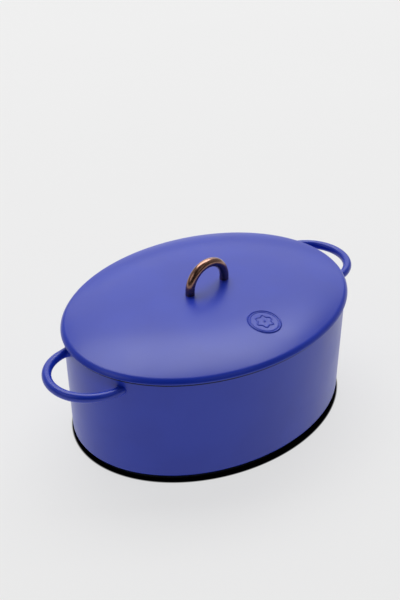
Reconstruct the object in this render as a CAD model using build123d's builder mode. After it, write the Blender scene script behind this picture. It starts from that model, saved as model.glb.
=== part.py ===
"""Oval enamelled cast iron dutch oven: pot, rod side handles, domed lid and arched lid handle.

Millimetres, +Z up.  The origin is on the floor, under the middle of the pot.
+X runs along the long axis of the oval, towards the right side handle.
"""
from build123d import *

import os
from math import cos, radians, sin, sqrt, tan

# ---------------------------------------------------------------- pot
pot_length = 313.0              # outside of the wall at the rim, along X
pot_width = 243.0               # outside of the wall at the rim, along Y
rim_height = 118.0              # floor to the top of the rim
wall_thickness = 3.8
wall_draft = 3.2                # how far the wall leans in from the rim to the base
base_edge_radius = 5.0          # rounding between the wall and the underside
rim_edge_radius = 1.0
bottom_thickness = 4.2
inner_corner_radius = 10.0
foot_height = 5.8               # ring foot that keeps the underside off the floor
foot_width = 9.0
foot_inset = 5.0                # foot's outer face, in from the wall above it
foot_edge_radius = 0.8

# ---------------------------------------------------------------- side handles
handle_reach = 39.0             # wall at the rim out to the rod's outer face
handle_loop_radius = 41.8       # of the rod's centreline
handle_rod_diameter = 9.2
handle_drop = 12.5              # rim down to the rod's centreline
handle_boss_width = 14.0        # pad where the rod meets the wall
handle_boss_height = 10.4
handle_boss_reach = 4.6
handle_boss_edge_radius = 2.0

# ---------------------------------------------------------------- lid
lid_overhang = 2.8              # lid's edge, before its rounding, beyond the wall at the rim
lid_dome_height = 20.0          # seam to the top of the dome
lid_shoulder_radius = 8.0       # round edge that turns the crown down to the seam
lid_shoulder_sink = 1.8         # centre of that arc, below the seam
lid_rolloff_slope = 17.9        # degrees, of the run between the crown and the shoulder
lid_rolloff_width = 30.0
lid_rolloff_radius = 160.0      # between the crown and that run
lid_edge_radius = 0.8
lid_thickness = 4.0
lid_hollow_corner_radius = 5.0
rib_clearance = 1.5             # locating rib to the inside of the pot's wall
rib_thickness = 3.0
rib_depth = 4.0

relief_length = 34.8            # plain raised oval, cast on the lid, along Y
relief_width = 33.2             # along X
relief_band = 2.2
relief_height = 0.8
relief_forward = 80.6           # lid's middle to the oval's middle, towards the front

# ---------------------------------------------------------------- lid handle and its fasteners
grip_bar_diameter = 9.5
grip_half_span = 23.0           # lid's middle to a leg's centreline
grip_leg_height = 3.3           # straight part of a leg above the dome

screw_diameter = 5.0
screw_head_diameter = 9.5
screw_head_height = 2.8
screw_head_edge_radius = 1.0
screw_grip_depth = 7.0          # thread above the dome, inside the leg
screw_slot_width = 1.2
screw_slot_depth = 1.2
blind_hole_extra = 1.0          # hole beyond the screw's tip
thread_clearance = 0.05         # screw to the leg's threaded hole, on the radius
hole_clearance = 0.3            # screw to the lid's hole, on the radius
washer_diameter = 12.0
washer_thickness = 1.0
washer_clearance = 0.2          # screw to the washer, on the radius
seat_diameter = 15.0            # flat seat under the dome for each washer
seat_height = 1.0

# ---------------------------------------------------------------- what follows from them
half_length = pot_length / 2
half_width = pot_width / 2
base_half_length = half_length - wall_draft
base_half_width = half_width - wall_draft
inside_floor = foot_height + bottom_thickness
inside_half_length = half_length - wall_thickness
inside_half_width = half_width - wall_thickness
inside_lean = wall_draft * (rim_height - inside_floor) / (rim_height - foot_height)
foot_half_length = base_half_length - foot_inset
foot_half_width = base_half_width - foot_inset

lid_half_length = half_length + lid_overhang
lid_half_width = half_width + lid_overhang
rib_half_length = inside_half_length - rib_clearance
rib_half_width = inside_half_width - rib_clearance
hollow_half_length = rib_half_length - rib_thickness
hollow_half_width = rib_half_width - rib_thickness
dome_top = rim_height + lid_dome_height
hollow_top = dome_top - lid_thickness
# the roll-off ends where the shoulder arc has its slope, and starts at the knee
rolloff_slope = radians(lid_rolloff_slope)
shoulder_x = lid_half_length - sqrt(lid_shoulder_radius**2 - lid_shoulder_sink**2)
rolloff_end_x = shoulder_x + lid_shoulder_radius * sin(rolloff_slope)
rolloff_end_z = rim_height - lid_shoulder_sink + lid_shoulder_radius * cos(rolloff_slope)
knee_x = rolloff_end_x - lid_rolloff_width
knee_z = rolloff_end_z + lid_rolloff_width * tan(rolloff_slope)
crown_rise = dome_top - knee_z
crown_radius = (knee_x**2 + crown_rise**2) / (2 * crown_rise)
hollow_knee_z = knee_z - lid_thickness
hollow_corner_z = hollow_knee_z - (hollow_half_length - knee_x) * tan(rolloff_slope)
seat_z = hollow_top - seat_height
washer_bottom = seat_z - washer_thickness
screw_tip = dome_top + screw_grip_depth
screw_radius = screw_diameter / 2
grip_arc_z = dome_top + grip_leg_height
relief_bottom = rim_height + lid_shoulder_radius
fuse_depth = 1.0                # how far joined pieces reach into each other

os.makedirs("parts", exist_ok=True)


def write(piece, name):
    """Label a finished piece and write it to its own STEP file."""
    piece.part.label = name
    export_step(piece.part, f"parts/{name}.step")


# ================================================================ pot body
with BuildPart() as pot_outside:
    with BuildSketch(Plane.XY.offset(foot_height)):
        Ellipse(base_half_length, base_half_width)
    with BuildSketch(Plane.XY.offset(rim_height)):
        Ellipse(half_length, half_width)
    loft(ruled=True)
    fillet(edges().group_by(Axis.Z)[0], radius=base_edge_radius)

with BuildPart() as pot_inside:
    with BuildSketch(Plane.XY.offset(inside_floor)):
        Ellipse(inside_half_length - inside_lean, inside_half_width - inside_lean)
    with BuildSketch(Plane.XY.offset(rim_height)):
        Ellipse(inside_half_length, inside_half_width)
    loft(ruled=True)
    fillet(edges().group_by(Axis.Z)[0], radius=inner_corner_radius)

with BuildPart() as pot_body:
    add(pot_outside.part)
    with BuildSketch():
        Ellipse(foot_half_length, foot_half_width)
        Ellipse(foot_half_length - foot_width, foot_half_width - foot_width, mode=Mode.SUBTRACT)
    extrude(amount=foot_height + fuse_depth)
    fillet(edges().group_by(Axis.Z)[0], radius=foot_edge_radius)
    add(pot_inside.part, mode=Mode.SUBTRACT)
    fillet(edges().group_by(Axis.Z)[-1], radius=rim_edge_radius)

write(pot_body, "pot_body")

# ================================================================ side handles
handle_z = rim_height - handle_drop
handle_centre_x = half_length + handle_reach - handle_rod_diameter / 2 - handle_loop_radius
wall_lean_at_handle = wall_draft * handle_drop / (rim_height - foot_height)
wall_half_length = half_length - wall_lean_at_handle
wall_half_width = half_width - wall_lean_at_handle
# where the rod's centreline meets the oval wall, and the wall's outward direction there
meet_y = handle_loop_radius
meet_x = wall_half_length * sqrt(1 - (meet_y / wall_half_width) ** 2)
outward_x = meet_x / wall_half_length**2
outward_y = meet_y / wall_half_width**2

with BuildPart() as right_side_handle:
    for side in (-1, 1):
        wall_plane = Plane(
            origin=(meet_x, side * meet_y, handle_z),
            x_dir=(-side * outward_y, outward_x, 0),
            z_dir=(outward_x, side * outward_y, 0),
        )
        with BuildSketch(wall_plane):
            Ellipse(handle_boss_width / 2, handle_boss_height / 2)
        extrude(amount=handle_boss_reach, both=True)
        boss_front = faces(Select.LAST).sort_by(Axis(wall_plane.origin, wall_plane.z_dir))[-1]
        fillet(boss_front.edges(), radius=handle_boss_edge_radius)
    with BuildLine(Plane.XY.offset(handle_z)) as rod_line:
        near_leg = Line((meet_x - wall_thickness, -meet_y), (handle_centre_x, -meet_y))
        bow = RadiusArc(near_leg @ 1, (handle_centre_x, meet_y), -handle_loop_radius)
        far_leg = Line(bow @ 1, (meet_x - wall_thickness, meet_y))
    with BuildSketch(Plane(origin=near_leg @ 0, z_dir=near_leg % 0)):
        Circle(handle_rod_diameter / 2)
    sweep(path=rod_line.line)
    add(pot_outside.part, mode=Mode.SUBTRACT)

with BuildPart() as left_side_handle:
    mirror(right_side_handle.part, about=Plane.YZ)

write(right_side_handle, "right_side_handle")
write(left_side_handle, "left_side_handle")


# ================================================================ lid
def round_corner(section, corner, radius):
    """Round the one corner of a section that lies at the given place."""
    fillet(section.vertices().sort_by_distance(corner)[0], radius=radius)


with BuildPart() as lid_dome:
    with BuildSketch(Plane.XZ) as lid_section:
        with BuildLine():
            RadiusArc((0, dome_top), (knee_x, knee_z), crown_radius)
            Line((knee_x, knee_z), (rolloff_end_x, rolloff_end_z))
            RadiusArc((rolloff_end_x, rolloff_end_z), (lid_half_length, rim_height), lid_shoulder_radius)
            Polyline((lid_half_length, rim_height), (0, rim_height), (0, dome_top))
        make_face()
        round_corner(lid_section, (knee_x, knee_z), lid_rolloff_radius)
        round_corner(lid_section, (lid_half_length, rim_height), lid_edge_radius)
    revolve(axis=Axis.Z)
    scale(by=(1, lid_half_width / lid_half_length, 1))
lid_outside = lid_dome.part

with BuildPart() as hollow_dome:
    with BuildSketch(Plane.XZ) as hollow_section:
        with BuildLine():
            hollow_bottom = rim_height - rib_depth
            hollow_corner = (hollow_half_length, hollow_corner_z)
            RadiusArc((0, hollow_top), (knee_x, hollow_knee_z), crown_radius)
            Polyline((knee_x, hollow_knee_z), hollow_corner, (hollow_half_length, hollow_bottom))
            Polyline((hollow_half_length, hollow_bottom), (0, hollow_bottom), (0, hollow_top))
        make_face()
        round_corner(hollow_section, (knee_x, hollow_knee_z), lid_rolloff_radius)
        round_corner(hollow_section, hollow_corner, lid_hollow_corner_radius)
    revolve(axis=Axis.Z)
    scale(by=(1, hollow_half_width / hollow_half_length, 1))
lid_hollow = hollow_dome.part

with BuildPart() as raised_oval:
    with BuildSketch(Plane.XY.offset(relief_bottom)):
        with Locations((0, -relief_forward)):
            Ellipse(relief_width / 2, relief_length / 2)
            Ellipse(relief_width / 2 - relief_band, relief_length / 2 - relief_band, mode=Mode.SUBTRACT)
    extrude(amount=lid_dome_height)
    add(Pos(0, 0, relief_height) * lid_outside, mode=Mode.INTERSECT)

with BuildPart() as lid:
    add(lid_outside)
    with BuildSketch(Plane.XY.offset(rim_height - rib_depth)):
        Ellipse(rib_half_length, rib_half_width)
    extrude(amount=rib_depth + fuse_depth)
    add(raised_oval.part)
    add(lid_hollow, mode=Mode.SUBTRACT)
    with BuildSketch(Plane.XY.offset(seat_z)):
        with Locations((-grip_half_span, 0), (grip_half_span, 0)):
            Circle(seat_diameter / 2)
    extrude(amount=seat_height + fuse_depth)
    with BuildSketch(Plane.XY.offset(seat_z)):
        with Locations((-grip_half_span, 0), (grip_half_span, 0)):
            Circle(screw_radius + hole_clearance)
    extrude(amount=seat_height + lid_thickness, mode=Mode.SUBTRACT)

write(lid, "lid")

# ================================================================ arched lid handle
with BuildPart() as lid_handle:
    with BuildLine(Plane.XZ) as bar_line:
        left_leg = Line((-grip_half_span, hollow_top), (-grip_half_span, grip_arc_z))
        arch = RadiusArc(left_leg @ 1, (grip_half_span, grip_arc_z), grip_half_span)
        right_leg = Line(arch @ 1, (grip_half_span, hollow_top))
    with BuildSketch(Plane.XY.offset(hollow_top)):
        with Locations((-grip_half_span, 0)):
            Circle(grip_bar_diameter / 2)
    sweep(path=bar_line.line)
    add(lid_outside, mode=Mode.SUBTRACT)
    with BuildSketch(Plane.XY.offset(hollow_top)):
        with Locations((-grip_half_span, 0), (grip_half_span, 0)):
            Circle(screw_radius + thread_clearance)
    extrude(amount=lid_thickness + screw_grip_depth + blind_hole_extra, mode=Mode.SUBTRACT)

write(lid_handle, "lid_handle")

# ================================================================ screws and washers, seen from the front
for name, x in (("left", -grip_half_span), ("right", grip_half_span)):
    with BuildPart() as lid_screw:
        with BuildSketch(Plane.XY.offset(washer_bottom - screw_head_height)):
            with Locations((x, 0)):
                Circle(screw_head_diameter / 2)
        extrude(amount=screw_head_height)
        fillet(edges().group_by(Axis.Z)[0], radius=screw_head_edge_radius)
        with BuildSketch(Plane.XY.offset(washer_bottom)):
            with Locations((x, 0)):
                Circle(screw_radius)
        extrude(amount=screw_tip - washer_bottom)
        with BuildSketch(Plane.XY.offset(washer_bottom - screw_head_height)):
            with Locations((x, 0)):
                Rectangle(screw_slot_width, screw_head_diameter)
        extrude(amount=screw_slot_depth, mode=Mode.SUBTRACT)
    write(lid_screw, f"{name}_lid_screw")

    with BuildPart() as washer:
        with BuildSketch(Plane.XY.offset(washer_bottom)):
            with Locations((x, 0)):
                Circle(washer_diameter / 2)
                Circle(screw_radius + washer_clearance, mode=Mode.SUBTRACT)
        extrude(amount=washer_thickness)
    write(washer, f"{name}_washer")
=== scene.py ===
# %% [markdown]
# # A cast iron dutch oven with an enamel coat
#
# The object is a heavy oval pot with a loose domed lid. Both are cast in iron and fired with blue
# enamel, which is a thin glass. The lid carries a polished copper arch, held by two screws from
# below, and the pot has a cast loop at each end to lift it by.
#
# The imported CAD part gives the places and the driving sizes. The steps below lay finer skins over
# its pieces: each skin is a surface worked out with numpy, and rides on the same body as the piece
# it covers.

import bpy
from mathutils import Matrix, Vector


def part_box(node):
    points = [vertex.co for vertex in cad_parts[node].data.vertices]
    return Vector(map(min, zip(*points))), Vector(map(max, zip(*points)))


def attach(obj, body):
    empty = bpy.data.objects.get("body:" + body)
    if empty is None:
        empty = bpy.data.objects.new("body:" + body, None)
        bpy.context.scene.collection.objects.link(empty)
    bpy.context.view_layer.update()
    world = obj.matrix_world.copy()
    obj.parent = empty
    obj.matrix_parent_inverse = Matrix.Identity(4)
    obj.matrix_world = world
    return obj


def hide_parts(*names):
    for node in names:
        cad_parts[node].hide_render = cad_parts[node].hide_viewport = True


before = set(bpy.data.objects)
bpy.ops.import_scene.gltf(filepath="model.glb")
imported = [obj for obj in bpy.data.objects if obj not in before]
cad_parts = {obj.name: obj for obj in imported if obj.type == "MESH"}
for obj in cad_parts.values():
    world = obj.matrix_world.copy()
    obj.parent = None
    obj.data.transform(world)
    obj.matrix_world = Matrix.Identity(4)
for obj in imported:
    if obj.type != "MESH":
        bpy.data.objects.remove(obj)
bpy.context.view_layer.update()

# %% [markdown]
# ## Measures
#
# The boxes of the CAD nodes hold the driving sizes: the rim of the pot, the top of the lid, the
# reach of the loops and the height of the arch. Reading them here keeps every skin in step with the
# part. Only the sizes that a box can't tell, such as a wall's thickness, are given as numbers.

# %% Read the sizes of the pot and the lid
from math import pi

import bpy
import numpy as np
from mathutils import Matrix, Vector

MM = 0.001

rim_length, rim_width, rim_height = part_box("pot_body")[1]
rib_bottom, lid_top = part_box("lid")[0].z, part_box("lid")[1].z
print(f"half axes of the rim {rim_length:.4f} x {rim_width:.4f}, at the height {rim_height:.4f}")
print(f"the lid reaches from {rib_bottom:.4f} to {lid_top:.4f}")

# %% [markdown]
# ## One function for every closed skin
#
# A pot, a lid, a rod and an oval badge are all a row of closed rings. Blender could spin or sweep
# curves for them, but rings held in one numpy array are easier to shape by formula. The function
# joins neighbouring rings with four-sided faces, and closes each end with a fan around one point.

# %% Join rings into a mesh
def skin(name, rings, first, last, bands=None):
    """A closed mesh from an array of rings, shaped (ring, point, xyz). Each face joins point j and
    point j+1 of one ring to the same two of the next. The points first and last close the ends.
    Bands gives the material index of each row of faces, counted from the first fan to the last."""
    ring_count, point_count, _ = rings.shape
    index = np.arange(ring_count * point_count).reshape(ring_count, point_count)
    beside = np.roll(index, -1, axis=1)
    quads = np.stack([index[:-1], beside[:-1], beside[1:], index[1:]], axis=-1).reshape(-1, 4)
    first_index, last_index = index.size, index.size + 1
    first_fan = np.stack([beside[0], index[0], np.full(point_count, first_index)], axis=-1)
    last_fan = np.stack([index[-1], beside[-1], np.full(point_count, last_index)], axis=-1)

    mesh = bpy.data.meshes.new(name)
    points = np.vstack([rings.reshape(-1, 3), [first, last]])
    mesh.from_pydata(points.tolist(), [], first_fan.tolist() + quads.tolist() + last_fan.tolist())
    if bands is not None:
        mesh.polygons.foreach_set("material_index", np.repeat(bands, point_count).astype(np.int32))
    mesh.polygons.foreach_set("use_smooth", np.ones(len(mesh.polygons), bool))
    mesh.update()
    piece = bpy.data.objects.new(name, mesh)
    bpy.context.scene.collection.objects.link(piece)
    print(f"{name}: {len(mesh.vertices)} points, {len(mesh.polygons)} faces, {enclosed(mesh) * 1e6:.1f} ml")
    return piece


def enclosed(mesh):
    """The volume inside a closed mesh: a third of the sum of centre . normal . area over its faces.
    It is positive when the faces point outwards."""
    count = len(mesh.polygons)
    centres, normals, areas = np.empty(count * 3), np.empty(count * 3), np.empty(count)
    mesh.polygons.foreach_get("center", centres)
    mesh.polygons.foreach_get("normal", normals)
    mesh.polygons.foreach_get("area", areas)
    return float((centres.reshape(-1, 3) * normals.reshape(-1, 3)).sum(axis=1) @ areas) / 3


# %% [markdown]
# ## Ovals
#
# The pot and the lid are ovals at every height, so a profile is a list of half length, half width
# and height, and each row becomes one ring. Cast walls keep the same thickness all round, so a step
# inwards takes the same distance off both half axes. A floor or a dome shrinks to a point instead,
# and there both half axes shrink by the same share.

# %% Rings from a profile, and rounded corners
OVAL_POINTS = 288
GUARD_SHARE = 0.15


def oval_rings(profile):
    """Rings on ovals: x is half length times the cosine of the angle round, y is half width times
    its sine, and z is the height of the row."""
    angle = np.linspace(0, 2 * pi, OVAL_POINTS, endpoint=False)
    across, along, height = np.asarray(profile, float).T[:, :, None]
    return np.stack([across * np.cos(angle), along * np.sin(angle), height + 0 * angle], axis=-1)


def rounded(corners, arc_steps):
    """A line through corners given as (distance, height, radius), with each corner replaced by an
    arc that touches both sides. A guard point, a share of the radius before and after each arc,
    keeps the flats flat."""
    corners = np.asarray(corners, float)
    line = [corners[0, :2]]
    for before, corner, after in zip(corners, corners[1:], corners[2:]):
        back, ahead = before[:2] - corner[:2], after[:2] - corner[:2]
        back, ahead = back / np.hypot(*back), ahead / np.hypot(*ahead)
        half_angle = np.arccos(np.clip(back @ ahead, -1, 1)) / 2
        reach = corner[2] / np.tan(half_angle)
        middle = (back + ahead) / np.hypot(*(back + ahead))
        centre = corner[:2] + middle * corner[2] / np.sin(half_angle)
        start, end = corner[:2] + back * reach, corner[:2] + ahead * reach
        turn = pi - 2 * half_angle
        share = np.linspace(0, 1, arc_steps + 1)[:, None]
        swing = np.sin((1 - share) * turn) * (start - centre) + np.sin(share * turn) * (end - centre)
        arc = centre + swing / np.sin(turn)
        guard = GUARD_SHARE * corner[2]
        line += [start + back * guard, *arc, end + ahead * guard]
    line.append(corners[-1, :2])
    return np.array(line)


def inset_rows(line, half_length, half_width):
    """Profile rows for walls: both half axes lose the same distance from the outermost oval."""
    distance, height = line.T
    return np.stack([distance, distance - (half_length - half_width), height], axis=-1)


def shrinking_rows(half_length, half_width, height, count=14):
    """Profile rows for a flat floor, from near the centre out to the given oval."""
    share = np.linspace(0, 1, count + 1)[1:, None]
    return share * [half_length, half_width, 0] + [0, 0, height]


print(f"one point every {360 / OVAL_POINTS} degrees round an oval")

# %% [markdown]
# ## The pot
#
# The pot is one casting: a ring foot in the sand-cast underside, a wall that leans out a little so
# that the pattern leaves the mould, a rounded rim and a floor with a wide inner corner. Starting
# under the middle and ending on the floor inside, the profile goes once round the section of the
# iron, so the skin is a closed solid with a real wall.
#
# The bands give each stretch of the profile its own finish: bare black underneath, blue outside,
# black on the rim itself and again on the last few millimetres under it, and cream inside. That thin
# black line just under the lid's edge is partly the rim's black coat and partly painted shade of the
# gap under the lid. A row of points is put in where the blue stops, so that the edge of the enamel is
# sharp.

# %% Section of the pot's iron
wall_thickness, wall_lean = 3.8 * MM, 3.2 * MM
foot_height, foot_width, foot_inset = 5.8 * MM, 9.0 * MM, 5.0 * MM
bottom_thickness, inside_corner = 4.2 * MM, 10.0 * MM
underside_flat = 6.0 * MM
# The black band this deep under the rim is partly the rim's coat and partly painted shade of the gap under
# the lid's edge.
rim_black_and_shade_depth = 2.7 * MM

base_length = rim_length - wall_lean
foot_outside, foot_inside = base_length - foot_inset, base_length - foot_inset - foot_width
inside_rim = rim_length - wall_thickness
floor_height = foot_height + bottom_thickness
inside_lean = wall_lean * (rim_height - floor_height) / (rim_height - foot_height)
inside_floor = inside_rim - inside_lean

section = rounded([
    (foot_inside - underside_flat, foot_height, 0),
    (foot_inside, foot_height, 2.0 * MM),
    (foot_inside, 0, 0.8 * MM),
    (foot_outside, 0, 0.8 * MM),
    (foot_outside, foot_height, 0.9 * MM),
    (base_length, foot_height, 3.4 * MM),
    (rim_length, rim_height, 1.2 * MM),
    (inside_rim, rim_height, 1.2 * MM),
    (inside_floor, floor_height, inside_corner),
    (inside_floor - 2 * inside_corner, floor_height, 0),
], arc_steps=10)

# The blue stops here; the black above it is partly painted shade under the lid's edge.
rim_black_and_shade_height = rim_height - rim_black_and_shade_depth
rim_black_and_shade_length = rim_length - wall_lean * rim_black_and_shade_depth / (rim_height - foot_height)
section = np.insert(section, np.argmax(section[:, 1] > rim_black_and_shade_height), (rim_black_and_shade_length, rim_black_and_shade_height), axis=0)
print(f"the floor inside is at {floor_height:.4f}, the blue stops at {rim_black_and_shade_height:.4f}")

# %% Skin of the pot
narrowing = rim_length - rim_width
underside = shrinking_rows(section[0, 0], section[0, 0] - narrowing, foot_height)
floor = shrinking_rows(section[-1, 0], section[-1, 0] - narrowing, floor_height)[::-1]
pot_rows = np.vstack([underside[:-1], inset_rows(section, rim_length, rim_width), floor[1:]])

BLACK_BAND, BLUE_BAND, CREAM_BAND = 0, 1, 2
middle_length, _, middle_height = ((pot_rows[:-1] + pot_rows[1:]) / 2).T
blue_start = foot_height + 0.2 * MM
first_wall_row = np.argmax((middle_height > blue_start) & (middle_length > foot_outside))
rim_rows = np.flatnonzero(middle_height > rim_black_and_shade_height)
pot_bands = np.full(len(middle_height), BLACK_BAND)
pot_bands[first_wall_row:rim_rows[0]] = BLUE_BAND
pot_bands[rim_rows[-1]:] = CREAM_BAND
pot_bands = np.concatenate([[BLACK_BAND], pot_bands, [CREAM_BAND]])

pot_skin = skin("pot_enamel", oval_rings(pot_rows), (0, 0, foot_height), (0, 0, floor_height), pot_bands)

# %% [markdown]
# ## The lid
#
# The lid is nearly flat in the middle, rolls off towards its edge and turns down over a round
# shoulder. If the crown were an arc, its slope would jump where the shoulder starts, and the gloss
# would show it. So the crown falls with a power of the distance from the middle, and the power is
# chosen so that its slope at the end equals the shoulder's.

# %% Crown and shoulder
lid_overhang, shoulder_radius, shoulder_sink = 2.8 * MM, 8.0 * MM, 1.8 * MM
crown_end_slope = np.radians(17.9)

edge_length, edge_width = rim_length + lid_overhang, rim_width + lid_overhang
lid_ratio = edge_width / edge_length
shoulder_x = edge_length - np.sqrt(shoulder_radius**2 - shoulder_sink**2)
shoulder_z = rim_height - shoulder_sink
crown_end_x = shoulder_x + shoulder_radius * np.sin(crown_end_slope)
crown_drop = lid_top - shoulder_z - shoulder_radius * np.cos(crown_end_slope)
crown_power = np.tan(crown_end_slope) * crown_end_x / crown_drop


def crown_height(x, y):
    """Height of the crown over a point: the top less the drop times a power of the distance from
    the middle, with y stretched to the lid's length."""
    distance = np.hypot(x, y / lid_ratio)
    return lid_top - crown_drop * (distance / crown_end_x) ** crown_power


print(f"the crown falls {crown_drop / MM:.1f} mm with the power {crown_power:.2f} of the distance")

# %% Outside of the lid
LIP_ROW = 4  # the rows of the shoulder before this one give way to the rounded lip
ROW_CROWDING = 1.3  # above 1, the rows of the crown stand closer together towards its edge

turn = np.linspace(np.arccos(shoulder_sink / shoulder_radius), crown_end_slope, 22)
shoulder_out = shoulder_x + shoulder_radius * np.sin(turn)
shoulder_up = shoulder_z + shoulder_radius * np.cos(turn)
shoulder = np.stack([shoulder_out, shoulder_up], axis=-1)
spread = crown_end_x * (1 - np.linspace(0, 1, 44)[1:-1] ** ROW_CROWDING)
crown = np.stack([spread, crown_height(spread, 0)], axis=-1)
outside = np.vstack([shoulder[LIP_ROW:], crown])
print(f"{len(outside)} rows from the lip to the middle of the crown")

# %% [markdown]
# ## Under the lid
#
# Underneath, a rib drops inside the rim of the pot and keeps the lid from sliding, and the hollow
# repeats the crown a wall's thickness lower. The rib follows the pot, so its rows are inset like
# the pot's, while the hollow shrinks to the middle like the dome. The three stretches are stacked
# into one profile, from the middle of the hollow round the lip to the middle of the crown.

# %% Underside of the lid
lid_thickness, rib_clearance, rib_thickness = 4.0 * MM, 1.5 * MM, 3.0 * MM
HOLLOW_SHARE = 0.9

rib_outside = rim_length - wall_thickness - rib_clearance
rib_inside = rib_outside - rib_thickness
hollow_top = lid_top - lid_thickness
hollow_edge = crown_height(rib_inside, 0) - lid_thickness
hollow_spread = rib_inside * np.linspace(0, HOLLOW_SHARE, 30)[1:]
hollow = np.stack([hollow_spread, crown_height(hollow_spread, 0) - lid_thickness], axis=-1)
under_line = rounded([
    (*hollow[-1], 0),
    (rib_inside, hollow_edge, 5.0 * MM),
    (rib_inside, rib_bottom, 0.9 * MM),
    (rib_outside, rib_bottom, 0.9 * MM),
    (rib_outside, rim_height, 0.6 * MM),
    (edge_length, rim_height, 0.8 * MM),
    (*shoulder[LIP_ROW], 0),
], arc_steps=7)[1:-1]
print(f"the hollow starts {hollow_top - rim_height:.4f} over the rim")

# %% Skin of the lid
def scaled_rows(line, ratio):
    """Profile rows for a dome: the half width is a fixed share of the half length."""
    distance, height = line.T
    return np.stack([distance, distance * ratio, height], axis=-1)


hollow_rows = scaled_rows(hollow, (rib_inside - narrowing) / rib_inside)
under_rows = inset_rows(under_line, rim_length, rim_width)
lid_rows = np.vstack([hollow_rows, under_rows, scaled_rows(outside, lid_ratio)])

rib_lap, lip_lap, rim_lap = 0.5 * MM, 1.2 * MM, 0.1 * MM
row_length, _, row_height = ((lid_rows[:-1] + lid_rows[1:]) / 2).T
on_rib = (row_length > rib_inside - rib_lap) & (row_height < rim_height + rim_lap)
lid_bands = np.full(len(row_length), CREAM_BAND)
lid_bands[on_rib] = BLACK_BAND
lid_bands[np.argmax(row_length > edge_length - lip_lap):] = BLUE_BAND
lid_bands = np.concatenate([[CREAM_BAND], lid_bands, [BLUE_BAND]])

lid_skin = skin("lid_enamel", oval_rings(lid_rows), (0, 0, hollow_top), (0, 0, lid_top), lid_bands)

# %% [markdown]
# ## The screw seats
#
# Two low round pads under the lid give the washers a flat face to sit on, because the hollow itself
# is curved. They are part of the casting: a pad on the pattern leaves them, and the enamel flows
# over their edge. Each is a short closed drum whose upper end is buried in the iron of the lid.

# %% Skins of the two seats
seat_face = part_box("left_washer")[1].z
seat_radius, seat_round = 7.5 * MM, 0.5 * MM
seat_flare, seat_depth = 0.9 * MM, 1.8 * MM


def seat(name, node):
    """A drum under the lid, centred on a washer: a flat face, a rounded lip and a flared side that
    ends inside the iron."""
    low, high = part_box(node)
    centre = np.array([(low.x + high.x) / 2, (low.y + high.y) / 2, 0])
    face = seat_radius * np.linspace(0.2, 0.8, 4)
    lip = np.linspace(-pi / 2, 0, 7)
    lip_reach = seat_radius - seat_round + seat_round * np.cos(lip)
    lip_height = seat_round + seat_round * np.sin(lip)
    reach = np.concatenate([face, lip_reach, [seat_radius + seat_flare]])[:, None]
    height = np.concatenate([0 * face, lip_height, [seat_depth]])[:, None] + seat_face
    angle = np.linspace(0, 2 * pi, 72, endpoint=False)
    rings = np.stack([reach * np.cos(angle), reach * np.sin(angle), height + 0 * angle], axis=-1) + centre
    return skin(name, rings, centre + [0, 0, seat_face], centre + [0, 0, height[-1, 0]])


left_seat = seat("left_seat_enamel", "left_washer")
right_seat = seat("right_seat_enamel", "right_washer")

# %% [markdown]
# ## Rods that follow a path
#
# The side loops and the lid's arch are round bars. A bar is a ring carried along its centre line:
# at each point the ring lies across the line, and a fixed reference direction keeps it from
# twisting. The ring may be wider than it is high, which lets a loop spread where it joins the pot.

# %% Carry a ring along a path
def rod(name, path, half_width, half_height, upright, ring_points=48):
    """A closed bar. The ring at each path point is centre + half width . cos . side + half height .
    sin . up, where side lies across both the path and the upright direction."""
    tangent = np.gradient(path, axis=0)
    tangent /= np.linalg.norm(tangent, axis=1)[:, None]
    side = np.cross(np.broadcast_to(upright, path.shape), tangent)
    side /= np.linalg.norm(side, axis=1)[:, None]
    up = np.cross(tangent, side)
    angle = np.linspace(0, 2 * pi, ring_points, endpoint=False)[None, :, None]
    wide = np.broadcast_to(half_width, len(path))[:, None, None]
    high = np.broadcast_to(half_height, len(path))[:, None, None]
    rings = path[:, None] + wide * np.cos(angle) * side[:, None] + high * np.sin(angle) * up[:, None]
    return skin(name, rings, path[0], path[-1])


def even_steps(path, step):
    """The same path with its points a fixed distance apart, found on the straight lines between the
    old points, and the distance of each new point from the start."""
    length = np.concatenate([[0], np.cumsum(np.linalg.norm(np.diff(path, axis=0), axis=1))])
    stations = np.linspace(0, length[-1], int(length[-1] / step) + 1)
    return np.stack([np.interp(stations, length, path[:, axis]) for axis in range(3)], axis=-1), stations


# %% [markdown]
# ## The side loops
#
# Each loop is cast in one with the pot: half a circle of round bar whose two ends bend into the
# wall, and spread into a soft knuckle where they meet it. The bar is slightly slimmer towards its
# ends. One path is worked out for the right side and mirrored for the left, and its direction is
# reversed with the mirror so that the faces still point outwards.

# %% Path of a side loop
loop_low, loop_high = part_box("right_side_handle")
loop_height = (loop_low.z + loop_high.z) / 2
bar_radius, loop_radius = 4.6 * MM, 41.8 * MM
loop_centre = loop_high.x - bar_radius - loop_radius
leg_bow, sunk = 2.0 * MM, 2.4 * MM


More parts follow.
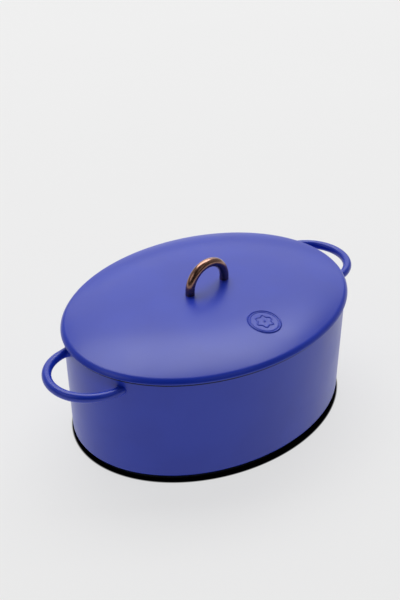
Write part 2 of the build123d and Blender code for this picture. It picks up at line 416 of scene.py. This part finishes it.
def loop_path(side):
    """Half a circle, then at each end a leg that bends towards the oval wall and ends inside it. A
    leg is a curve with three control points: the end of the half circle, a point a little nearer
    the pot, and a point sunk square into the wall. Side is +1 for the right loop, -1 for the left."""
    wall_length = rim_length - wall_lean * (rim_height - loop_height) / (rim_height - foot_height)
    wall_width = wall_length - narrowing
    turn = np.linspace(0, pi / 2, 60)
    arc = np.stack([loop_centre + loop_radius * np.cos(turn), loop_radius * np.sin(turn)], axis=-1)
    wall_x = wall_length * np.sqrt(1 - (loop_radius / wall_width) ** 2)
    normal = np.array([wall_x / wall_length**2, loop_radius / wall_width**2])
    normal /= np.hypot(*normal)
    start, end = arc[-1], np.array([wall_x, loop_radius]) - sunk * normal
    share = np.linspace(0, 1, 30)[1:, None]
    leg = (1 - share) ** 2 * start + 2 * share * (1 - share) * (start + [-leg_bow, 0]) + share**2 * end
    half = np.vstack([arc, leg])
    flat = np.vstack([half[::-1], (half * [1, -1])[1:]])
    path = np.column_stack([flat[:, 0] * side, flat[:, 1], np.full(len(flat), loop_height)])
    return path if side > 0 else path[::-1]


print(f"the loops lie at the height {loop_height:.4f} and reach out to {loop_high.x:.4f}")

# %% Skins of the two side loops
knuckle_length, knuckle_width, knuckle_height = 6.5 * MM, 1.1 * MM, 0.7 * MM
slimming, slim_length = 0.30 * MM, 40.0 * MM


def side_loop(name, side):
    """The bar of one loop, with its radius a function of the distance from the nearer end."""
    path, stations = even_steps(loop_path(side), 1.0 * MM)
    from_end = np.minimum(stations, stations[-1] - stations)
    swell = np.clip(1 - (from_end - sunk) / knuckle_length, 0, 1) ** 2
    radius = bar_radius - slimming * np.clip(1 - from_end / slim_length, 0, 1)
    return rod(name, path, radius + knuckle_width * swell, radius + knuckle_height * swell, (0, 0, 1))


right_loop = side_loop("right_loop_enamel", +1)
left_loop = side_loop("left_loop_enamel", -1)

# %% [markdown]
# ## The lid's arch
#
# The arch is a copper-plated bar bent to half a circle, with two short straight legs that stand on
# the crown. It is turned smooth and polished after bending. The legs end a little inside the lid,
# so no gap shows round them.

# %% Skin of the arch
arch_low, arch_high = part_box("lid_handle")
arch_bar_radius = arch_high.y
arch_half_span = arch_high.x - arch_bar_radius
arch_spring = arch_high.z - arch_bar_radius - arch_half_span
arch_foot = arch_low.z - 0.2 * MM

arch_turn = np.linspace(pi, 0, 90)
arch_x, arch_z = arch_half_span * np.cos(arch_turn), arch_spring + arch_half_span * np.sin(arch_turn)
arch_bend = np.stack([arch_x, 0 * arch_turn, arch_z], axis=-1)
leg_share = np.linspace(0, 1, 8)[:-1, None]
left_leg = (1 - leg_share) * [-arch_half_span, 0, arch_foot] + leg_share * arch_bend[0]
right_leg = left_leg[::-1] * [-1, 1, 1]
arch_path = np.vstack([left_leg, arch_bend, right_leg])
arch_skin = rod("lid_arch_copper", arch_path, arch_bar_radius, arch_bar_radius, (0, 1, 0), ring_points=64)

# %% [markdown]
# ## The raised oval
#
# A small ornament is cast into the crown towards the front. It is a low, nearly round cushion with
# two beads round it, and inside them a line with six lobes round a small boss. Its height over the
# crown is a formula in two directions, which suits a grid of ovals: the beads depend only on the
# distance from the edge, and the lobed line on the distance from the middle and the angle round it.

# %% Relief of the raised oval
oval_half_x, oval_half_y, oval_forward = 16.6 * MM, 17.4 * MM, 80.6 * MM
cushion_height, cushion_slope = 0.25 * MM, 1.2 * MM
bead_height, line_height = 0.80 * MM, 0.70 * MM
outer_bead, outer_bead_width = 1.2 * MM, 1.1 * MM
inner_bead, inner_bead_width, inner_bead_share = 3.4 * MM, 0.9 * MM, 0.65
lobe_count, lobe_middle, lobe_swing, line_width = 6, 7.6 * MM, 1.1 * MM, 1.3 * MM
boss_radius = 2.6 * MM


def bump(distance, half_width):
    """One smooth ridge: half of (1 + cosine), and nothing further out than half_width."""
    return 0.5 + 0.5 * np.cos(pi * np.clip(np.abs(distance) / half_width, 0, 1))


def oval_relief(from_edge, from_middle, angle):
    """Height over the crown: a cushion, and on it the higher of two beads and the higher of the
    lobed line and the boss. The line's distance from the middle swings with the cosine of six times
    the angle."""
    beads = np.maximum(
        bump(from_edge - outer_bead, outer_bead_width),
        inner_bead_share * bump(from_edge - inner_bead, inner_bead_width),
    )
    lobed_line = bump(from_middle - lobe_middle - lobe_swing * np.cos(lobe_count * angle), line_width)
    boss = bump(from_middle, boss_radius)
    cushion = cushion_height * np.clip(from_edge / cushion_slope, 0, 1)
    return cushion + bead_height * beads + line_height * np.maximum(lobed_line, boss)


print(f"the relief rises {(cushion_height + bead_height) / MM:.2f} mm over the crown")

# %% Skin of the raised oval
skirt_depth, root_depth = 0.5 * MM, 0.8 * MM

share = np.linspace(0, 1, 76)[1:, None]
round_angle = np.linspace(0, 2 * pi, 192, endpoint=False)[None, :]
oval_x = oval_half_x * share * np.cos(round_angle)
oval_y = oval_half_y * share * np.sin(round_angle)
slant = np.hypot(oval_half_y * np.cos(round_angle), oval_half_x * np.sin(round_angle))
oval_reach = oval_half_x * oval_half_y / slant
oval_lift = oval_relief((1 - share) * oval_reach, share * oval_reach, round_angle)

place_y = oval_y - oval_forward
oval_surface = np.stack([oval_x, place_y, crown_height(oval_x, place_y) + oval_lift], axis=-1)
skirt = oval_surface[-1:] - [0, 0, skirt_depth]
oval_middle = crown_height(0, -oval_forward)
oval_skin = skin(
    "lid_raised_oval",
    np.concatenate([skirt, oval_surface[::-1]]),
    (0, -oval_forward, oval_middle - root_depth),
    (0, -oval_forward, oval_middle + cushion_height + line_height),
)

# %% [markdown]
# ## Stand each skin in for its CAD piece
#
# A skin hides the CAD node it covers and moves with that node's body. The raised oval and the seats
# cover no whole node, so they only ride on the lid. The last column names each piece's finish, but
# nothing here reads it; the materials are put on further down.

# %% Bodies, nodes and finishes
for piece, body, node, slot in [
    (pot_skin, "pot", "pot_body", "blue_enamel"),
    (left_loop, "pot", "left_side_handle", "blue_enamel"),
    (right_loop, "pot", "right_side_handle", "blue_enamel"),
    (lid_skin, "lid", "lid", "blue_enamel"),
    (oval_skin, "lid", None, "blue_enamel"),
    (left_seat, "lid", None, "blue_enamel"),
    (right_seat, "lid", None, "blue_enamel"),
    (arch_skin, "lid", "lid_handle", "copper_finish"),
]:
    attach(piece, body)
    if node:
        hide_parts(node)
    print(piece.name, "rides on", body)

# %% [markdown]
# ## Building a finish from nodes
#
# Every finish below is a Principled shader whose colour, roughness and fine relief come from noise
# in the piece's own coordinates. A small helper makes the empty material, the coordinates and the
# shader, and others add a noise, a ramp or a mix, so that each finish reads as a short recipe.

# %% Helpers for finishes
class Finish:
    """A new material with its node tree, its shader and a source of object coordinates."""

    def __init__(self, name, **shader_values):
        self.material = bpy.data.materials.new(name)
        self.material.use_nodes = True
        self.tree = self.material.node_tree
        self.shader = self.tree.nodes["Principled BSDF"]
        self.coordinates = self.node("ShaderNodeTexCoord").outputs["Object"]
        for socket, value in shader_values.items():
            self.shader.inputs[socket.replace("_", " ")].default_value = value

    def __str__(self):
        return f"{self.material.name}: {len(self.tree.nodes)} nodes"

    def node(self, kind, **values):
        """Adds a node. Values name its sockets or, where there is no such socket, its settings."""
        made = self.tree.nodes.new(kind)
        for name, value in values.items():
            label = name.replace("_", " ")
            if label in made.inputs:
                made.inputs[label].default_value = value
            else:
                setattr(made, name, value)
        return made

    def link(self, source, target):
        """Leads one node's output into another's input."""
        self.tree.links.new(source, target)

    def feed(self, **sources):
        """Leads each source into the shader's input of that name."""
        for socket, source in sources.items():
            self.link(source, self.shader.inputs[socket.replace("_", " ")])

    def noise(self, scale, detail=2.0, stretch=(1, 1, 1)):
        """Noise whose grain is about 1/scale metres, finer along an axis where stretch is above 1
        and drawn out where it is below."""
        placed = self.node("ShaderNodeMapping", Scale=stretch)
        self.link(self.coordinates, placed.inputs["Vector"])
        made = self.node("ShaderNodeTexNoise", Scale=scale, Detail=detail)
        self.link(placed.outputs["Vector"], made.inputs["Vector"])
        return made.outputs["Fac"]

    def ramp(self, source, low, high, low_value=0, high_value=1):
        """Maps the range low to high of a source to two values, smoothly and without overshoot."""
        ends = {"From_Min": low, "From_Max": high, "To_Min": low_value, "To_Max": high_value}
        made = self.node("ShaderNodeMapRange", interpolation_type="SMOOTHSTEP", **ends)
        self.link(source, made.inputs["Value"])
        return made.outputs["Result"]

    def mix(self, factor, low_colour, high_colour):
        """Mixes two colours, each a value or another mix, by a factor."""
        made = self.node("ShaderNodeMix", data_type="RGBA")
        self.link(factor, made.inputs["Factor"])
        for socket, colour in ((made.inputs[6], low_colour), (made.inputs[7], high_colour)):
            if isinstance(colour, tuple):
                socket.default_value = (*colour, 1)
            else:
                self.link(colour, socket)
        return made.outputs[2]

    def relief(self, *layers):
        """Stacks bumps, each a height source and its depth in metres, and puts them on the shader."""
        below = None
        for height, depth in layers:
            made = self.node("ShaderNodeBump", Strength=1.0, Distance=depth)
            self.link(height, made.inputs["Height"])
            if below:
                self.link(below.outputs["Normal"], made.inputs["Normal"])
            below = made
        self.feed(Normal=below.outputs["Normal"])


# %% [markdown]
# ## Blue enamel
#
# Enamel is coloured glass over rough iron. Its colour is deep and nearly even, with slow clouds
# where the coat is thicker. Its surface is satin: it has the shallow waves of the casting, a fine
# orange peel and hardly any sharp reflection. A coat layer over a rougher base would add a second,
# sharper gloss, but a satin enamel has only one broad sheen, so the base shader makes it alone.

# %% Finish: blue enamel
BLUE_DEEP, BLUE_CLEAR = (0.007, 0.032, 0.46), (0.009, 0.038, 0.50)

enamel = Finish("blue_enamel_satin", IOR=1.5)
clouds = enamel.ramp(enamel.noise(14, detail=3), 0.35, 0.65)
satin = enamel.ramp(enamel.noise(30), 0.3, 0.7, 0.28, 0.32)
enamel.feed(Base_Color=enamel.mix(clouds, BLUE_DEEP, BLUE_CLEAR), Roughness=satin)
enamel.relief((enamel.noise(26, detail=1), 0.08 * MM), (enamel.noise(240, detail=1), 0.008 * MM))
print(enamel)

# %% [markdown]
# ## Black ground coat
#
# The rim, the foot and the rib carry a thin matt black ground coat, because thick glass would chip
# where iron rests on iron. Outside it also shows as a thin line under the lid, where the blue stops
# just short of the rim; that line is partly the rim's coat and partly painted shade of the gap under
# the lid's edge. One fine grit gives the colour, the roughness and the relief, so that the dusty
# grains are the same ones that stand up.

# %% Finish: black ground coat
BLACK_DEEP, BLACK_DUSTY = (0.004, 0.006, 0.012), (0.009, 0.012, 0.022)

ground = Finish("black_ground_coat", Specular_IOR_Level=0.25, IOR=1.5)
grit = ground.noise(700, detail=4)
ground.feed(
    Base_Color=ground.mix(ground.ramp(grit, 0.35, 0.7), BLACK_DEEP, BLACK_DUSTY),
    Roughness=ground.ramp(grit, 0.3, 0.7, 0.55, 0.72),
)
ground.relief((grit, 0.05 * MM))
print(ground)

# %% [markdown]
# ## Cream lining
#
# The inside has a pale cream coat that shows food well. It is glossier than the outside, which a
# coat layer gives, and it has a few tiny dark specks: a very fine noise of which the ramp keeps
# only the highest peaks.

# %% Finish: cream lining
CREAM_DEEP, CREAM_PALE, SPECK_BROWN = (0.78, 0.73, 0.62), (0.83, 0.79, 0.69), (0.22, 0.17, 0.12)

lining = Finish("cream_lining", Coat_Weight=0.6, Coat_Roughness=0.12, IOR=1.5)
cream = lining.mix(lining.ramp(lining.noise(9, detail=3), 0.35, 0.65), CREAM_DEEP, CREAM_PALE)
specks = lining.ramp(lining.noise(1400, detail=1), 0.74, 0.80)
glaze = lining.ramp(lining.noise(80), 0.3, 0.7, 0.26, 0.34)
lining.feed(Base_Color=lining.mix(specks, cream, SPECK_BROWN), Roughness=glaze)
lining.relief((lining.noise(30, detail=1), 0.10 * MM), (lining.noise(240, detail=1), 0.008 * MM))
print(lining)

# %% [markdown]
# ## Polished copper
#
# The arch is polished by a wheel that runs along the bar, so the faint lines left in it go the same
# way. The bar lies in the plane of x and z, and a noise made eight times finer along y leaves lines
# along it, for the roughness and the relief. A thin clear lacquer keeps the copper bright, and the
# coat layer stands for it.

# %% Finish: polished copper
COPPER_BRIGHT, COPPER_DARK = (0.36, 0.175, 0.12), (0.23, 0.105, 0.07)

copper = Finish("polished_copper", Metallic=1.0, IOR=1.5, Coat_Weight=0.8, Coat_Roughness=0.12)
tarnish = copper.ramp(copper.noise(55, detail=3), 0.35, 0.7)
polish = copper.noise(900, detail=3, stretch=(1, 8, 1))
copper.feed(
    Base_Color=copper.mix(tarnish, COPPER_BRIGHT, COPPER_DARK),
    Roughness=copper.ramp(polish, 0.3, 0.7, 0.20, 0.28),
)
copper.relief((polish, 0.006 * MM))
print(copper)

# %% [markdown]
# ## Steel
#
# The screws and washers underneath are turned from bright bar, whose grain runs along z. The same
# idea as for the copper serves again: a noise drawn out along z leaves that fine grain.

# %% Finish: turned steel
STEEL_GREY, STEEL_PALE = (0.50, 0.50, 0.51), (0.62, 0.62, 0.63)

steel = Finish("turned_steel", Metallic=1.0, IOR=1.5)
grain = steel.noise(1500, detail=3, stretch=(1, 1, 0.15))
steel.feed(
    Base_Color=steel.mix(steel.ramp(grain, 0.3, 0.7), STEEL_GREY, STEEL_PALE),
    Roughness=steel.ramp(grain, 0.3, 0.7, 0.24, 0.36),
)
steel.relief((grain, 0.01 * MM))
print(steel)

# %% [markdown]
# ## Put the finishes on
#
# A face picks its material by number, so the pot and the lid get the three coats in the order of
# the band numbers: black, blue, cream. The screws and washers need no skin, because their CAD
# meshes are fine enough, and only their material is changed.

# %% Materials of every piece
for piece in (pot_skin, lid_skin):
    for finish in (ground, enamel, lining):
        piece.data.materials.append(finish.material)
for piece in (left_loop, right_loop, oval_skin):
    piece.data.materials.append(enamel.material)
for piece in (left_seat, right_seat):
    piece.data.materials.append(lining.material)
arch_skin.data.materials.append(copper.material)
for name in ("left_lid_screw", "right_lid_screw", "left_washer", "right_washer"):
    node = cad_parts[name]
    for place in node.material_slots:
        place.material = steel.material
    print(name, "wears", [place.material.name for place in node.material_slots])

# %% [markdown]
# ## The floor
#
# The pot stands on a table of white acrylic that glows a little from below, as a studio does to keep
# shadows soft and the ground one even grey. Under the foot the table is painted black, with no glow,
# in an oval a little larger than the base: a painted contact shadow round the iron. Its edge is worked
# out from the object coordinates of the floor: the distance from the middle, with y stretched to the
# pot's length.

# %% Floor
FLOOR_GLOW, FLOOR_REACH = 0.67, 6.0
# The black oval on the floor round the foot is a painted contact shadow, and it has no glow inside it.
PAINTED_SHADOW_BLACK, ACRYLIC_GREY, ACRYLIC_PALE = (0.004,) * 3, (0.185,) * 3, (0.195,) * 3
shadow_oval_length, shadow_oval_width = base_length + 0.8 * MM, base_length - narrowing + 2.4 * MM
shadow_soft_edge = 2.0 * MM

floor_corners = [(x * FLOOR_REACH, y * FLOOR_REACH, 0) for x, y in ((-1, -1), (1, -1), (1, 1), (-1, 1))]
floor_mesh = bpy.data.meshes.new("studio_floor")
floor_mesh.from_pydata(floor_corners, [], [(0, 1, 2, 3)])
studio_floor = bpy.data.objects.new("studio_floor", floor_mesh)
bpy.context.scene.collection.objects.link(studio_floor)

acrylic = Finish("floor_acrylic", Roughness=0.9, Specular_IOR_Level=0.0, Emission_Color=(1, 1, 1, 1))
stretched = acrylic.node("ShaderNodeMapping", Scale=(1, shadow_oval_length / shadow_oval_width, 0))
acrylic.link(acrylic.coordinates, stretched.inputs["Vector"])
shadow_oval_distance = acrylic.node("ShaderNodeVectorMath", operation="LENGTH")
acrylic.link(stretched.outputs["Vector"], shadow_oval_distance.inputs[0])
# Painted contact shadow: inside this soft edge the floor turns black and stops glowing.
shadow_oval_edge = (shadow_oval_length - shadow_soft_edge / 2, shadow_oval_length + shadow_soft_edge / 2)
glow = acrylic.ramp(shadow_oval_distance.outputs["Value"], *shadow_oval_edge, 0, FLOOR_GLOW)
outside_painted_shadow = acrylic.ramp(shadow_oval_distance.outputs["Value"], *shadow_oval_edge)
cloudy = acrylic.mix(acrylic.noise(3), ACRYLIC_GREY, ACRYLIC_PALE)
acrylic.feed(Emission_Strength=glow, Base_Color=acrylic.mix(outside_painted_shadow, PAINTED_SHADOW_BLACK, cloudy))
floor_mesh.materials.append(acrylic.material)
print(f"the felt's half axes are {shadow_oval_length:.4f} x {shadow_oval_width:.4f}")

# %% [markdown]
# ## The light
#
# The air itself is pale behind the pot and nearly dark on the viewer's side. A wide panel high up
# behind lays the pale band where the crown turns down, a second one lower down draws the sheen of
# the crown and the pale edge of the far wall, and two weak fills keep the near wall from going
# black. Every lamp is a large panel, because a small one would leave a hard bright spot in the gloss.

# %% Air
VIEW_SIDE = (-0.673, -0.740, 0.0)
PALE_AIR, DARK_AIR = 0.36, 0.03
FADE_START, FADE_END = -0.5, 0.6

world = bpy.data.worlds.new("studio_air")
bpy.context.scene.world = world
world.use_nodes = True
air = world.node_tree
direction = air.nodes.new("ShaderNodeTexCoord")
facing = air.nodes.new("ShaderNodeVectorMath")
facing.operation = "DOT_PRODUCT"
facing.inputs[1].default_value = VIEW_SIDE
fade = air.nodes.new("ShaderNodeMapRange")
fade.interpolation_type = "SMOOTHSTEP"
fade.inputs["From Min"].default_value, fade.inputs["From Max"].default_value = FADE_START, FADE_END
fade.inputs["To Min"].default_value, fade.inputs["To Max"].default_value = PALE_AIR, DARK_AIR
air.links.new(direction.outputs["Generated"], facing.inputs[0])
air.links.new(facing.outputs["Value"], fade.inputs["Value"])
air.links.new(fade.outputs["Result"], air.nodes["Background"].inputs["Strength"])
air.nodes["Background"].inputs["Color"].default_value = (1, 1, 1, 1)
print(f"the air fades from {PALE_AIR} to {DARK_AIR} towards {VIEW_SIDE}")

# %% Lamps
LAMP_DISTANCE = 4.4
LAMP_AIM = Vector((0, 0, 0.1))


def outward(azimuth, elevation):
    """The direction at two angles in radians, azimuth counted from the front (-Y) towards the right
    (+X): x is sine . cosine of the elevation, y is -cosine . the same, z is its sine."""
    level = np.cos(elevation)
    return Vector((np.sin(azimuth) * level, -np.cos(azimuth) * level, np.sin(elevation)))


def soft_panel(name, azimuth, elevation, width, height, power):
    """A flat area lamp on a sphere round the pot, aimed at its middle. The angles are in degrees."""
    place = outward(np.radians(azimuth), np.radians(elevation)) * LAMP_DISTANCE
    data = bpy.data.lights.new(name, "AREA")
    data.shape, data.size, data.size_y, data.energy = "RECTANGLE", width, height, power
    lamp = bpy.data.objects.new(name, data)
    lamp.location = place + LAMP_AIM
    lamp.rotation_euler = (-place).to_track_quat("-Z", "Y").to_euler()
    bpy.context.scene.collection.objects.link(lamp)
    print(f"{name}: {power} W at {tuple(round(v, 2) for v in lamp.location)}")


soft_panel("high_panel", azimuth=144, elevation=63, width=4.8, height=2.3, power=134)
soft_panel("back_panel", azimuth=137, elevation=32, width=5.0, height=3.2, power=49)
soft_panel("front_fill", azimuth=0, elevation=40, width=2.3, height=2.3, power=6)
soft_panel("left_fill", azimuth=-100, elevation=34, width=2.3, height=2.3, power=15)

# %% [markdown]
# ## The camera
#
# A long lens from above the left front shows the lid's whole oval, the near wall and both loops. It
# is placed by its two angles and its distance from an aim point, so that each can be changed alone,
# and a small roll turns it about its own axis.

# %% Camera
CAMERA_AZIMUTH, CAMERA_ELEVATION, CAMERA_ROLL = -42.287, 32.061, -0.290
CAMERA_DISTANCE, LENS_LENGTH, SENSOR_SIZE = 1.2379, 71.947, 36.0
CAMERA_AIM = Vector((0.01294, 0.02507, 0.1047))

azimuth, elevation, roll = np.radians([CAMERA_AZIMUTH, CAMERA_ELEVATION, CAMERA_ROLL])
backwards = outward(azimuth, elevation)
lens = bpy.data.cameras.new("camera")
lens.lens, lens.sensor_width, lens.sensor_fit = LENS_LENGTH, SENSOR_SIZE, "AUTO"
camera = bpy.data.objects.new("camera", lens)
camera.matrix_world = (
    Matrix.Translation(CAMERA_AIM + backwards * CAMERA_DISTANCE)
    @ backwards.to_track_quat("Z", "Y").to_matrix().to_4x4()
    @ Matrix.Rotation(roll, 4, "Z")
)
bpy.context.scene.collection.objects.link(camera)
bpy.context.scene.camera = camera
bpy.context.scene.view_settings.view_transform = "Standard"
print("camera at", tuple(round(v, 4) for v in camera.location))
